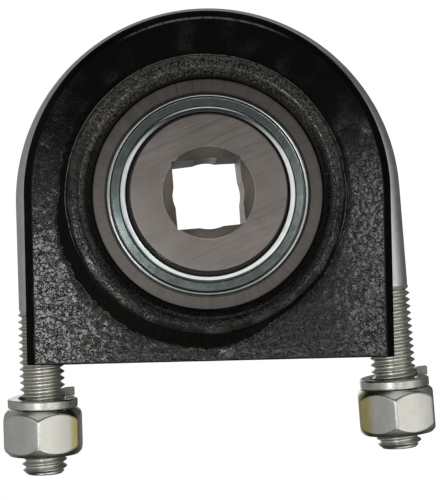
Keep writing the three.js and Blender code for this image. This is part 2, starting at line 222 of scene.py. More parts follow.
def face_outwards(mesh):
    """Turns the faces of a closed mesh out: consistent first, then by the sign of its volume."""
    work = bmesh.new()
    work.from_mesh(mesh)
    bmesh.ops.recalc_face_normals(work, faces=work.faces)
    if work.calc_volume(signed=True) < 0:
        bmesh.ops.reverse_faces(work, faces=work.faces)
    work.to_mesh(mesh)
    work.free()


def set_attribute(mesh, name, values):
    attribute = mesh.attributes.new(name, "FLOAT", "POINT")
    attribute.data.foreach_set("value", np.asarray(values, np.float32))


def displace(mesh, heights):
    """Moves each vertex along its normal by a height in millimetres."""
    points = np.array([v.co for v in mesh.vertices])
    normals = np.array([n.vector for n in mesh.vertex_normals])
    moved = points + normals * heights[:, None] * MM
    mesh.vertices.foreach_set("co", moved.astype(np.float32).ravel())
    mesh.update()


def smoothstep(low, high, value):
    t = np.clip((value - low) / (high - low), 0, 1)
    return t * t * (3 - 2 * t)


def noise_at(points, scale, seed):
    """Perlin noise, about -1 to 1, of features this many millimetres across."""
    shift = Vector((seed * 17.3, seed * 5.1, seed * 9.7))
    return np.array([noise.noise(Vector(p) / scale + shift) for p in points])


# ---- Materials ----


class Nodes:
    """A shader's node tree and short ways to add to it."""

    def __init__(self, tree):
        self.tree = tree

    def feed(self, socket, value):
        """Gives a socket a value, or links it to the socket that makes the value."""
        if isinstance(value, bpy.types.NodeSocket):
            self.tree.links.new(value, socket)
        elif socket.type == "RGBA":
            socket.default_value = (*value, 1.0)
        else:
            socket.default_value = value

    def node(self, kind, inputs=None, **settings):
        made = self.tree.nodes.new(kind)
        for key, value in settings.items():
            setattr(made, key, value)
        for key, value in (inputs or {}).items():
            self.feed(made.inputs[key], value)
        return made

    def math(self, operation, a, b=0.0):
        return self.node("ShaderNodeMath", {0: a, 1: b}, operation=operation).outputs[0]

    def times(self, a, b):
        return self.math("MULTIPLY", a, b)

    def ramp(self, value, low, high, to_low=0.0, to_high=1.0):
        inputs = {0: value, 1: low, 2: high, 3: to_low, 4: to_high}
        return self.node("ShaderNodeMapRange", inputs, interpolation_type="SMOOTHSTEP").outputs[0]

    def vector(self, operation, a, b):
        return self.node("ShaderNodeVectorMath", {0: a, 1: b}, operation=operation).outputs[0]

    def scaled(self, vector, by):
        return self.node("ShaderNodeVectorMath", {0: vector, "Scale": by}, operation="SCALE").outputs[0]


class Surface(Nodes):
    """A Principled material driven by procedural textures."""

    def __init__(self, name, color, roughness, metallic=0.0):
        self.material = bpy.data.materials.new(name)
        self.material.use_nodes = True
        super().__init__(self.material.node_tree)
        self.set("Base Color", color)
        self.set("Roughness", roughness)
        self.set("Metallic", metallic)
        metres = self.node("ShaderNodeTexCoord").outputs["Object"]
        self.place = self.vector("SUBTRACT", self.scaled(metres, 1 / MM), AXIS)

    def set(self, name, value):
        self.feed(self.tree.nodes["Principled BSDF"].inputs[name], value)

    def mapped(self, stretch, turn=(0, 0, 0)):
        """Object place in millimetres, turned and then divided by stretch along each axis."""
        turned = self.node("ShaderNodeMapping", {"Vector": self.place, "Rotation": turn})
        inputs = {"Vector": turned.outputs[0], "Scale": tuple(1 / s for s in stretch)}
        return self.node("ShaderNodeMapping", inputs).outputs[0]

    def noise(self, size, detail, rough=0.55, place=None, distortion=0.0):
        inputs = {
            "Vector": place or self.place,
            "Scale": 1 / size,
            "Detail": detail,
            "Roughness": rough,
            "Distortion": distortion,
        }
        return self.node("ShaderNodeTexNoise", inputs).outputs[0]

    def spread(self, noise, low, high):
        """Noise, which mostly lies between 0.3 and 0.7, spread out over low to high."""
        return self.ramp(noise, 0.3, 0.7, low, high)

    def tint(self, color, first, first_tones, second, second_tones):
        """Colours the surface, with its tone varied by two patterns of noise."""
        tone = self.times(self.spread(first, *first_tones), self.spread(second, *second_tones))
        self.set("Base Color", self.scaled(color, tone))

    def attribute(self, name):
        return self.node("ShaderNodeAttribute", attribute_name=name).outputs["Fac"]

    def mix(self, share, a, b):
        return self.node("ShaderNodeMix", {0: share, 6: a, 7: b}, data_type="RGBA").outputs[2]

    def radius(self):
        """Distance from the bearing axis, in millimetres."""
        x, _, z = self.node("ShaderNodeSeparateXYZ", {0: self.place}).outputs
        square = self.math("ADD", self.times(x, x), self.times(z, z))
        return self.math("SQRT", square)

    def bump(self, height, depth, normal=None):
        """height, from 0 to 1, stands for this depth in millimetres."""
        inputs = {"Height": height, "Distance": depth * MM}
        if normal is not None:
            inputs["Normal"] = normal
        return self.node("ShaderNodeBump", inputs).outputs[0]


def black_paint():
    """Gloss paint over a cast skin: flat crinkled plateaus with narrow dark cracks between."""
    black = (0.004, 0.004, 0.004)
    s = Surface("black_paint", black, 0.2)
    cast = s.attribute("cast")
    pale_and_highlight = s.attribute("pale_and_highlight")

    def cracks(size, width):
        """0 along wandering lines about this far apart, 1 on the flats between them."""
        wander = s.noise(size, 2.0, 0.5, distortion=0.7)
        return s.ramp(s.math("ABSOLUTE", s.math("SUBTRACT", wander, 0.5)), 0.0, width)

    skin = s.math("ADD", s.times(cracks(2.6, 0.045), 0.8), cracks(1.5, 0.04))
    waves = s.bump(s.noise(1.5, 2.0), 0.02)
    s.set("Normal", s.bump(s.times(skin, cast), 0.08, waves))
    # Little light gets out of a crack, and the even paint over the arch is duller than the rest.
    open_share = s.ramp(skin, 0.3, 1.6, 0.12, 1.0)
    gloss = s.ramp(cast, 0.1, 1.0, 0.04, 0.7)
    s.set("Specular IOR Level", s.times(gloss, open_share))
    dust = s.times(s.ramp(s.noise(0.6, 4.0, 0.7), 0.5, 0.75), cast)
    speckled = s.mix(dust, black, (0.009, 0.009, 0.008))
    # Light olive specks where the cast mask runs past 1, mostly on the hub over the top, are a painted
    # sheen.
    painted_sheen = s.times(s.ramp(s.noise(0.7, 3.0, 0.65), 0.45, 0.62), s.ramp(cast, 1.05, 1.3))
    speckled = s.mix(painted_sheen, speckled, (0.085, 0.082, 0.066))
    # Grey, broken up by noise: a painted highlight along the hub's lip and the rim's front edge, and a
    # lighter drop.
    broken = s.times(pale_and_highlight, s.ramp(s.noise(1.6, 3.0, 0.7), 0.3, 0.55))
    s.set("Base Color", s.mix(broken, speckled, (0.26, 0.26, 0.25)))
    s.set("Roughness", s.spread(s.noise(2.5, 3.0), 0.1, 0.18))
    return s.material


def lined_steel(name, color, roughness, stretch, turn, size, depth, shade):
    """Steel whose pattern is stretched into straight lines and turned in the XZ plane."""
    s = Surface(name, color, roughness, 1.0)
    along = s.mapped(stretch, (0, turn, 0))
    lines = s.noise(size, 2.0, 0.6, along)
    wide = s.noise(size * 6, 2.0, 0.5, along)
    patch = s.noise(9.0, 3.0, 0.6)
    both = s.math("ADD", s.times(lines, 0.6), s.times(wide, 0.4))
    s.tint(color, both, (1 - shade, 1 + shade), patch, (0.93, 1.06))
    s.set("Roughness", s.spread(both, roughness - 0.06, roughness + 0.08))
    s.set("Normal", s.bump(both, depth))
    return s.material


def countersink_steel():
    """Dull warm steel with fine turning rings round the bearing axis."""
    color, roughness = (0.33, 0.29, 0.26), 0.4
    s = Surface("countersink_steel", color, roughness, 1.0)
    radius = s.radius()
    depth = s.node("ShaderNodeSeparateXYZ", {0: s.place}).outputs[1]
    slowly = s.times(radius, 0.3)
    rings_at = s.node("ShaderNodeCombineXYZ", {0: radius, 1: depth, 2: slowly}).outputs[0]
    rings = s.noise(0.35, 2.0, 0.6, rings_at)
    patch = s.noise(5.0, 4.0, 0.65)
    s.tint(color, rings, (0.85, 1.15), patch, (0.9, 1.08))
    s.set("Roughness", s.spread(patch, roughness - 0.05, roughness + 0.08))
    s.set("Normal", s.bump(rings, 0.015))
    return s.material


def ticked_steel():
    """The outer ring: ground with fine marks that cross its face towards the axis."""
    color, roughness = (0.105, 0.096, 0.09), 0.35
    s = Surface("ring_steel", color, roughness, 1.0)
    around = s.scaled(s.place, s.math("DIVIDE", OUTER_RING_RADIUS, s.radius()))
    ticks = s.noise(0.3, 1.0, 0.5, s.vector("MULTIPLY", around, (1, 0, 1)))
    patch = s.noise(4.0, 3.0, 0.6)
    s.tint(color, ticks, (0.85, 1.15), patch, (0.93, 1.06))
    s.set("Roughness", s.spread(ticks, roughness - 0.04, roughness + 0.06))
    s.set("Normal", s.bump(ticks, 0.002))
    return s.material


def plated(name, color, roughness, spots, size):
    """Zinc plating: a cloudy tone and a fine grain."""
    s = Surface(name, color, roughness, 1.0)
    cloud = s.noise(size, 4.0, 0.6)
    grain = s.noise(0.25, 2.0, 0.6)
    s.tint(color, cloud, (1 - spots, 1 + spots), grain, (0.95, 1.05))
    s.set("Roughness", s.spread(cloud, roughness - 0.04, roughness + 0.06))
    s.set("Normal", s.bump(grain, 0.006))
    return s.material


def pressed_zinc():
    """The shields: a dull greenish dish between rolled lips whose lighter colour is a painted
    highlight, in faint drawn rings.
    """
    dull = (0.25, 0.305, 0.3)
    s = Surface("zinc_shield", dull, 0.15, 1.0)
    radius = s.radius()
    rings = s.noise(0.5, 2.0, 0.6, s.node("ShaderNodeCombineXYZ", {0: radius}).outputs[0])
    cloud = s.noise(3.0, 4.0, 0.6)
    in_dish = s.ramp(radius, DISH_INNER - 0.3, DISH_INNER - 0.1)
    dish = s.times(in_dish, s.ramp(radius, DISH_OUTER, DISH_OUTER + 0.2, 1.0, 0.0))
    outer_lip = s.ramp(radius, DISH_INNER + 0.4, DISH_OUTER - 0.5)
    # The rolled lips are the same zinc as the dish; their lighter colours are painted highlights,
    # brightest on the inner lip.
    lips = s.mix(outer_lip, (0.70, 0.74, 0.76), (0.42, 0.45, 0.46))
    s.tint(s.mix(dish, lips, dull), cloud, (0.94, 1.05), rings, (0.93, 1.06))
    s.set("Roughness", s.spread(cloud, 0.13, 0.17))
    s.set("Normal", s.bump(rings, 0.002))
    return s.material


def brushed_zinc():
    """The nuts: zinc with a faint upright brushing and a few small marks."""
    color, roughness = (0.60, 0.605, 0.585), 0.27
    s = Surface("zinc_nut", color, roughness, 1.0)
    brush = s.noise(0.5, 2.0, 0.6, s.mapped((1, 1, 14)))
    marks = s.ramp(s.noise(0.9, 4.0, 0.7), 0.66, 0.74)
    tone = s.spread(brush, 0.97, 1.03)
    tone = s.times(tone, s.spread(s.noise(6.0, 2.0), 0.95, 1.04))
    tone = s.math("SUBTRACT", tone, s.times(marks, 0.2))
    # Yellow where the nut carries a painted reflection.
    base = s.mix(s.attribute("painted_reflection"), color, (0.52, 0.46, 0.22))
    s.set("Base Color", s.scaled(base, tone))
    s.set("Roughness", s.spread(brush, roughness - 0.04, roughness + 0.05))
    s.set("Normal", s.bump(brush, 0.004))
    return s.material


def rubber():
    s = Surface("black_rubber", (0.02, 0.02, 0.021), 0.65)
    grain = s.noise(0.3, 3.0, 0.6)
    s.set("Normal", s.bump(grain, 0.02))
    s.set("Roughness", s.spread(grain, 0.55, 0.75))
    s.set("Base Color", s.mix(grain, (0.012, 0.012, 0.012), (0.03, 0.03, 0.03)))
    return s.material


PAINT = black_paint()
GROUND = lined_steel(
    "ground_steel",
    color=(0.205, 0.187, 0.175),
    roughness=0.36,
    stretch=(40, 40, 1),
    turn=math.radians(22),
    size=0.2,
    depth=0.002,
    shade=0.06,
)
RING_STEEL = ticked_steel()
SINK_STEEL = countersink_steel()
BROACHED = lined_steel(
    "broached_steel",
    color=(0.125, 0.115, 0.105),
    roughness=0.45,
    stretch=(1, 40, 1),
    turn=0.0,
    size=0.7,
    depth=0.02,
    shade=0.6,
)
# A narrow light band round the mouth of the front countersink: a painted highlight along its edge.
EDGE_HIGHLIGHT = plated("painted_edge_highlight", (0.8, 0.79, 0.76), 0.3, 0.3, 1.5)
SHIELD = pressed_zinc()
RUBBER = rubber()
ROD = plated("zinc_rod", (0.56, 0.58, 0.60), 0.38, 0.05, 4.0)
THREAD = plated("zinc_thread", (0.60, 0.60, 0.565), 0.35, 0.1, 1.2)
NUT = brushed_zinc()
WASHER = plated("zinc_washer", (0.56, 0.56, 0.525), 0.3, 0.07, 2.0)
# The washers' cut ends: rougher zinc, made darker as a painted shade.
SHEARED_AND_SHADED = plated("zinc_sheared_painted_shade", (0.24, 0.25, 0.225), 0.5, 0.2, 0.8)
PRESSED = plated("pressed_steel", (0.5, 0.5, 0.5), 0.35, 0.1, 2.5)
BALL = plated("ball_steel", (0.7, 0.71, 0.73), 0.1, 0.03, 6.0)


# ---- Housing ----


def housing_columns():
    """Round the outline from +X over the arch, down the left, along the base and up again.

    Each column is (stretch, share). On "arch" the share is an angle, on the sides it runs from 0 at
    the arch to 1 at the base, and on "base" from -1 to 1.
    """
    arch, side, wall, middle = 320, 92, 9, 150
    columns = [("arch", math.pi * k / arch) for k in range(arch)]
    columns += [("left", k / side) for k in range(side)]
    groove = 1 - GROOVE_INSET / ARCH_RADIUS
    for start, end, count in ((-1, -groove, wall), (-groove, groove, middle), (groove, 1, wall)):
        columns += [("base", x) for x in np.linspace(start, end, count, endpoint=False)]
    columns += [("right", 1 - k / side) for k in range(side)]
    return columns


COLUMNS = housing_columns()


def outline(inset, lift=0.0, clamp=False):
    """X and Z of every column on the outline moved in by inset, its base raised by lift."""
    reach = ARCH_RADIUS - inset
    foot = BASE_Z + lift
    points = []
    for stretch, share in COLUMNS:
        if stretch == "arch":
            points.append((reach * math.cos(share), reach * math.sin(share)))
        elif stretch == "left":
            points.append((-reach, share * foot))
        elif stretch == "right":
            points.append((reach, share * foot))
        elif clamp:
            points.append((max(-reach, min(reach, share * ARCH_RADIUS)), foot))
        else:
            points.append((share * reach, foot))
    return np.array(points)


def per_column(value):
    return np.broadcast_to(value, len(COLUMNS))


def housing_skin():
    """One closed skin: points and quads, how rough the paint is at each point, and how much lighter its
    colour is, for a paler drop and for painted highlights.

    Rows of points run from the seat over the hub, web and rim into the groove, and from there
    back to the seat behind.
    """
    edge = outline(0)
    angle = np.arctan2(edge[:, 1], edge[:, 0])
    spokes = np.stack([np.cos(angle), np.sin(angle)], 1)
    on_edge = np.c_[spokes * HUB_RADIUS, np.zeros(len(spokes))]
    hub_edge = HUB_RADIUS + 0.12 * noise_at(on_edge, 1.6, 3) + 0.3 * noise_at(on_edge, 9.0, 7)
    # The smooth band outside the hub is widest low on the left, and narrow at the right and top.
    low_left = smoothstep(0.55, 1.0, np.cos(angle - math.radians(232)))
    band = 0.5 + 1.6 * smoothstep(0.1, 0.9, -np.cos(angle)) + 3.4 * low_left
    band += 2.6 * smoothstep(0.85, 1.0, -np.sin(angle))
    band = np.minimum(band, 4.6)
    web_edge = hub_edge + np.maximum(0.45, band + 0.7 * noise_at(on_edge, 1.3, 5))
    # The web's paint is even over the arch, and the hub's is rougher there; where it is roughest, the
    # paint shader adds light olive specks as a painted sheen.
    over_the_top = smoothstep(-0.2, 0.7, np.sin(angle))
    web_rough = 1 - 0.85 * over_the_top
    hub_rough = 0.6 + 0.7 * over_the_top
    shoulder = OUTER_RING_HALF + 0.25
    throat = MOUTH_RADIUS + 0.05
    crest = HUB_CREST_DEPTH - 0.15
    foot = WEB_HALF + 0.15 + 0.28 * band
    levels, masks, pales = [], [], []

    def level(plane, depth, mask=0.0, pale_and_highlight=0.0):
        levels.append(np.stack([plane[:, 0], per_column(depth), plane[:, 1]], 1))
        masks.append(per_column(mask))
        pales.append(per_column(pale_and_highlight))

    def ring(radius, depth, mask=0.0, pale_and_highlight=0.0, shift=0.0):
        level(spokes * per_column(radius)[:, None] + WEB_SHIFT * shift, depth, mask, pale_and_highlight)

    def seat(front):
        """Up the wall of the seat in front, and over the shoulder that holds the ring behind."""
        if front:
            ring(SEAT_RADIUS, -OUTER_RING_HALF - 0.6)
            ring(SEAT_RADIUS, -OUTER_RING_HALF - 1.2)
            ring(MOUTH_RADIUS, -OUTER_RING_HALF - 0.15, 0.3)
        else:
            ring(SEAT_RADIUS, shoulder)
            ring(SEAT_SHOULDER_RADIUS, shoulder)
            ring(SEAT_SHOULDER_RADIUS + 0.1, shoulder + 0.3)
            ring(MOUTH_RADIUS, shoulder + 0.6, 0.3)

    def hub(sign, rows):
        """A parabola from the seat's mouth up to the crest, then a quarter ellipse down."""
        for t in np.linspace(0, 1, rows):
            if t < 0.5:
                radius = throat + (HUB_CREST_RADIUS - throat) * 2 * t
                depth = HUB_THROAT_DEPTH + (crest - HUB_THROAT_DEPTH) * (1 - (1 - 2 * t) ** 2)
            else:
                a = math.pi * (1 - t)
                radius = HUB_CREST_RADIUS + (hub_edge - 0.2 - HUB_CREST_RADIUS) * math.cos(a)
                depth = foot + (crest - foot) * math.sin(a)
            lee = 1 - 1.6 * max(0.0, t - 0.5) * (1 - over_the_top)
            mask = hub_rough * lee * smoothstep(0, 0.05, t) * smoothstep(1, 0.9, t)
            ring(radius, sign * depth, mask, 0.0, t)
        # A thin lip stands up round the hub's front, but not round its lowest part, and a painted
        # highlight runs along it.
        upper = smoothstep(-0.42, -0.25, np.sin(angle)) if sign < 0 else 0.0
        for offset, raised in ((-0.2, 0.0), (0.0, 0.25), (0.2, 0.0)):
            pale_and_highlight = upper if raised else 0.0
            ring(hub_edge + offset, sign * (foot + raised * upper), 0.0, pale_and_highlight, 1.0)

    def web(sign, rows):
        """The smooth band, then the flat web out to its chamfer."""
        ring((hub_edge + web_edge) / 2, sign * (foot + WEB_HALF) / 2, shift=1.0)
        ring(web_edge - 0.15, sign * (WEB_HALF + 0.03), shift=1.0)
        inner = spokes * web_edge[:, None] + WEB_SHIFT
        outer = outline(CHAMFER_WIDTH + 0.25, 0.5)
        for w in np.linspace(0, 1, rows):
            plane = inner * (1 - w) + outer * w
            level(plane, sign * WEB_HALF, web_rough * min(1.0, 0.35 + 6 * w))

    def rim(sign):
        """Down the chamfer, along the rim and down the wall of the groove."""
        level(outline(CHAMFER_WIDTH - 0.1, 0.12), sign * (WEB_HALF - 0.12), 0.25)
        chamfer_end = WEB_HALF - CHAMFER_DEPTH
        for inset, depth in (
            (CHAMFER_WIDTH - 0.5, WEB_HALF - 0.45),
            (0.35, chamfer_end + 0.3),
            (0.05, chamfer_end - 0.1),
            (0, chamfer_end - 0.4),
            (0, GROOVE_HALF + 0.2),
        ):
            level(outline(inset), sign * depth)
        for inset in np.linspace(0, GROOVE_INSET, 10):
            level(outline(inset, clamp=True), sign * GROOVE_HALF)

    for sign, hub_rows, web_rows in ((-1, 19, 50), (1, 13, 22)):
        front_rows = len(levels)
        seat(sign < 0)
        hub(sign, hub_rows)
        web(sign, web_rows)
        rim(sign)
    # The back was made from the seat outwards, so it joins the loop the other way round.
    for rows in (levels, masks, pales):
        rows[front_rows:] = reversed(rows[front_rows:])
    quads = grid(len(levels), len(COLUMNS), True, True)
    return np.concatenate(levels), quads, np.concatenate(masks), np.concatenate(pales)


def housing():
    """The casting. Noise moves its skin in and out where the paint is rough."""
    points, quads, mask, pale_and_highlight = housing_skin()
    piece, first = add_piece("housing_casting", "housing", points, quads, [PAINT], sharp=50)
    place, mask, pale_and_highlight = points[first], mask[first], pale_and_highlight[first]
    patches = 1 + 3 * np.maximum(0, noise_at(place, 8.0, 8))
    mask = np.where(mask < 0.5, mask * patches, mask)
    on_front = place[:, 1] < 1.5 - WEB_HALF
    from_drop = np.hypot(place[:, 0] - DROP[0], place[:, 2] - DROP[1])
    drop = smoothstep(2.6, 0.8, from_drop) * on_front
    grain = noise_at(place, 2.0, 1) + 0.4 * noise_at(place, 1.0, 2)
    slow = noise_at(place, 7.0, 4)
    height = mask * 0.04 * (grain + slow) + drop * (0.35 + 0.3 * noise_at(place, 0.7, 6))
    displace(piece.data, np.where(mask + drop > 0, height, 0.02 * slow))
    # The paint is lighter on the drop, and a painted highlight runs along the front edge of the rim
    # over the top.
    top = smoothstep(0.86, 0.97, place[:, 2] / np.hypot(place[:, 0], place[:, 2]))
    from_axis = np.hypot(place[:, 0], np.maximum(place[:, 2], 0))
    on_edge = np.abs(from_axis - (ARCH_RADIUS - CHAMFER_WIDTH)) < 0.35
    pale_and_highlight = np.maximum(pale_and_highlight, np.maximum(0.35 * drop, 0.5 * top * on_front * on_edge))
    set_attribute(piece.data, "cast", mask)
    set_attribute(piece.data, "pale_and_highlight", pale_and_highlight)


# ---- Bearing ----

RACEWAY = BALL_RADIUS + 0.2


def raceway(land_radius, inner):
    """Points of a ball groove in the middle of a land, from the front to the back."""
    end = math.acos(abs(land_radius - PITCH_RADIUS) / RACEWAY)
    angles = np.linspace(-end, end, 17)
    side = -1 if inner else 1
    radii = PITCH_RADIUS + side * RACEWAY * np.cos(angles)
    return [(r, y, 0) for r, y in zip(radii, RACEWAY * np.sin(angles))]


def outer_race():
    half = OUTER_RING_HALF
    seat, seat_depth, land = SHIELD_RADIUS + 0.35, 1.4, 33.8
    corners = [
        (land, -half + seat_depth, 0.1),
        (seat, -half + seat_depth, 0),
        (seat, -half, 0.12),
        (OUTER_RING_RADIUS, -half, 1.25),
        (OUTER_RING_RADIUS, half, 1.25),
        (seat, half, 0.12),
        (seat, half - seat_depth, 0),
        (land, half - seat_depth, 0.1),
        *reversed(raceway(land, False)),
    ]
    points, quads = revolved(filleted(corners), 240)
    add_piece("outer_race", "outer_ring", points, quads, [RING_STEEL])


def inner_race():
    """Rings of points round the bore: outside, faces, countersinks and the square bore's walls."""
    # Columns of points also stand where the flats meet the pilot hole, the sink and each other.
    pilot = math.acos(BORE_SIDE / 2 / PILOT_RADIUS)
    sink = math.acos(BORE_SIDE / 2 / SINK_RADIUS)
    from_flat = np.array([-sink, -pilot, pilot, sink, math.pi / 4])
    special = [BORE_TURN + k * math.pi / 2 + from_flat for k in range(4)]
    angles = np.concatenate([np.linspace(0, 2 * math.pi, 288, endpoint=False), *special])
    angles = np.unique(np.round(angles % (2 * math.pi), 6))
    from_side = (angles - BORE_TURN + math.pi / 4) % (math.pi / 2) - math.pi / 4
    bore = np.maximum(BORE_SIDE / 2 / np.cos(from_side), PILOT_RADIUS)
    lip = np.maximum(SINK_RADIUS, bore)
    spokes = np.stack([np.cos(angles), np.sin(angles)], 1)
    half, land, mid_face = INNER_RING_HALF, INNER_RING_RADIUS, 24.0
    rows, kinds = [], []

    def row(radius, depth, kind):
        x, z = (spokes * np.broadcast_to(radius, len(angles))[:, None]).T
        rows.append(np.stack([x, np.broadcast_to(depth, len(angles)), z], 1))
        kinds.append(kind)

    face, sink_face, wall, outside, edge_highlight = 0, 1, 2, 3, 4
    end, blunt = [], 0.5
    for a in np.linspace(0, math.pi / 2, 6):
        end.append((land - blunt + blunt * math.cos(a), half - blunt + blunt * math.sin(a)))
    for radius, depth in end:
        row(radius, -depth, outside)
    kinds[-1] = face
    row(mid_face, -half, face)
    # The narrow band at the front countersink's mouth is a painted highlight.
    row(lip + 0.12, -half, edge_highlight)
    row(lip, -half + 0.1, sink_face)
    for t in (0.04, 0.35, 0.7, 1.0):
        radius = lip + (bore - lip) * t
        row(radius, -half + 0.1 + np.maximum(0, SINK_RADIUS - radius), sink_face)
    kinds[-1] = wall
    for t in np.linspace(-0.55, 0.55, 9):
        row(bore, half * t, wall)
    for t in (1.0, 0.7, 0.35, 0.04):
        radius = lip + (bore - lip) * t
        row(radius, half - 0.1 - np.maximum(0, SINK_RADIUS - radius), sink_face)
    row(lip, half - 0.1, face)
    row(lip + 0.2, half, face)
    row(mid_face, half, face)
    for radius, depth in reversed(end):
        row(radius, depth, outside)
    for radius, depth, _ in reversed(raceway(land, True)):
        row(radius, depth, outside)
    points = np.concatenate(rows)
    quads = grid(len(rows), len(angles), True, True)
    face_material = np.repeat(kinds, len(angles))
    steels = [GROUND, SINK_STEEL, BROACHED, RING_STEEL, EDGE_HIGHLIGHT]
    add_piece("inner_race", "inner_ring", points, quads, steels, face_material, sharp=14)


def shield(side, sign):
    """A pressed shield: crimped rim, dish and rolled inner lip. The dish has a groove on each side."""
    face, sheet, lip = OUTER_RING_HALF, 0.55, 27.72
    floor_depth = face - 1.0
    groove_depth = face - 1.7
    corners = [
        (SHIELD_RADIUS, face - 1.15, 0),
        (SHIELD_RADIUS, face - 0.55, 0.3),
        (DISH_OUTER + 1.15, face - 0.1, 0.75),
        (DISH_OUTER + 0.35, face - 0.55, 0.3),
        (DISH_OUTER + 0.3, groove_depth, 0),
        (DISH_OUTER, groove_depth, 0),
        (DISH_OUTER - 0.05, floor_depth, 0.12),
        (DISH_INNER + 0.05, floor_depth + 0.05, 0.12),
        (DISH_INNER, groove_depth, 0),
        (DISH_INNER - 0.3, groove_depth, 0),
        (DISH_INNER - 0.32, face - 0.3, 0.2),
        (lip + 1.48, face - 0.02, 0.9),
        (lip + 0.28, face + 0.28, 0.25),
        (lip, face - 0.3, 0.1),
        (lip, groove_depth - sheet, 0),
        (SHIELD_RADIUS - 0.9, groove_depth - sheet, 0.3),
    ]
    profile = filleted([(r, sign * y, fillet) for r, y, fillet in corners])
    points, quads = revolved(profile, 240)
    add_piece(f"shield_{side}_pressing", f"shield_{side}", points, quads, [SHIELD])


def seal(side, sign):
    low, high = box_mm(f"seal_{side}")
    near, far = sorted((abs(low.y), abs(high.y)))
    lip = INNER_RING_RADIUS + 0.04
    corners = [
        (SEAL_RADIUS, near, 0.08),
        (SEAL_RADIUS, near + 0.4, 0.08),
        (lip + 1.4, near + 0.4, 0.2),
        (lip, far, 0.12),
        (lip, near + 0.15, 0.12),
        (lip + 1.4, near, 0.2),
    ]
    profile = filleted([(r, sign * y, fillet) for r, y, fillet in corners])
    points, quads = revolved(profile, 180)
    add_piece(f"seal_{side}_moulding", f"seal_{side}", points, quads, [RUBBER])


def ball_angle(i):
    """Angle of the i-th ball on the pitch circle, from +X towards +Z."""
    return math.pi / 2 + i * 2 * math.pi / BALL_COUNT


def cage_half(side, sign):
    """A pressed half cage: a flat band that rises over each ball as a sheet of even thickness."""
    gap, sheet, pocket, half_width = 0.15, 0.55, 6.4, 1.65
    angles = np.linspace(0, 2 * math.pi, 540, endpoint=False)
    radii = np.linspace(PITCH_RADIUS - half_width, PITCH_RADIUS + half_width, 9)
    balls = np.array([ball_angle(i) for i in range(BALL_COUNT)])
    a, r = np.meshgrid(angles, radii, indexing="ij")
    x, z = r * np.cos(a), r * np.sin(a)
    ball_x, ball_z = PITCH_RADIUS * np.cos(balls), PITCH_RADIUS * np.sin(balls)
    away = np.hypot(x[..., None] - ball_x, z[..., None] - ball_z).min(-1)
    inside = np.maximum(gap, np.sqrt(np.maximum(0, pocket**2 - away**2)))
    outside = np.maximum(gap + sheet, np.sqrt(np.maximum(0, (pocket + sheet) ** 2 - away**2)))
    outer_skin = np.stack([x, sign * outside, z], -1)
    inner_skin = np.stack([x, sign * inside, z], -1)[:, ::-1]
    around = np.concatenate([outer_skin, inner_skin], 1)
    points = around.reshape(-1, 3)
    quads = grid(len(angles), around.shape[1], True, True)
    add_piece(f"cage_{side}_pressing", f"cage_{side}_half", points, quads, [PRESSED])


def on_pitch_circle(angle):
    return PITCH_RADIUS * np.array([math.cos(angle), 0, math.sin(angle)])


def rolling_parts():
    """The balls, and between them the rivets that hold the two halves of the cage together."""
    for i in range(BALL_COUNT):
        a = ball_angle(i)
        centre = on_pitch_circle(a)
        arc = np.linspace(-math.pi / 2, math.pi / 2, 25)
        profile = [(max(0.0, BALL_RADIUS * math.cos(t)), BALL_RADIUS * math.sin(t)) for t in arc]
        points, quads = revolved(profile, 48)
        name = f"ball_{i + 1}"
        add_piece(f"{name}_sphere", name, points + centre, quads, [BALL], sharp=60)
        centre = on_pitch_circle(a + math.pi / BALL_COUNT)
        name = f"cage_rivet_{i + 1}"
        end = box_mm(name)[1].y
        head = [(0.9, end - 0.6), (1.55, end - 0.6), (1.5, end - 0.3), (0.9, end - 0.03), (0, end)]
        profile = [(r, -y) for r, y in reversed(head)] + head
        points, quads = revolved(profile, 24)
        add_piece(f"{name}_stud", name, points + centre, quads, [PRESSED])


# ---- U-bolt and its fasteners ----


class Leg:
    """The axis of one leg. Heights run up the leg from the middle of its nut."""

    def __init__(self, side):
        turn = next(j for j in frame["joints"] if j["name"] == f"hex_nut_{side}_turn")
        self.nut = Vector(turn["pos_m"]) / MM - AXIS
        self.up = Vector(turn["axis"]).normalized()
        forward = Vector((0, 1, 0))
        self.across = forward.cross(self.up)
        self.axes = np.array([self.across, forward, self.up])

    def around(self, radius, angle, height):
        """Points this far from the leg's axis, at angles from +X towards +Y."""
        local = np.broadcast_arrays(radius * np.cos(angle), radius * np.sin(angle), height)
        return np.array(self.nut) + np.stack(local, -1) @ self.axes

    def local(self, node):
        """Vertices of a CAD node as (across, forward, up) from the middle of the nut."""
        return (vertices_mm(node) - np.array(self.nut)) @ self.axes.T

    def height_of(self, node):
        """Lowest and highest point of a CAD node along the leg."""
        local = self.local(node)
        along = local[np.abs(local[:, 0]) < 14, 2]
        return along.min(), along.max()


LEGS = {side: Leg(side) for side in ("left", "right")}


def bend():
    """Centre and radius of the bend that is tangent to both legs."""
    left, right = LEGS["left"], LEGS["right"]
    between = right.nut - left.nut
    # Where the two axes meet, far above the bend.
    flat = Matrix(((left.up.x, -right.up.x), (left.up.z, -right.up.z)))
    reach = flat.inverted() @ Vector((between.x, between.z))
    meet = left.nut + left.up * reach.x
    down = -(left.up + right.up).normalized()
    spread = left.up.angle(right.up) / 2
    top = box_mm("u_bolt")[1].z - ROD_RADIUS
    drop = (top - meet.z) / (down.z + math.sin(spread))
    centre = meet + down * drop
    return centre, drop * math.sin(spread)


def thread_form(u):
    """Radius of the thread at a share of its pitch, 0 at the crest."""
    u = np.abs((u + 0.5) % 1 - 0.5)
    crest_radius = THREAD_RADIUS - 0.06
    flank = np.clip((u - CREST_SHARE) / (ROOT_SHARE - CREST_SHARE), 0, 1)
    return crest_radius + (THREAD_ROOT - crest_radius) * flank


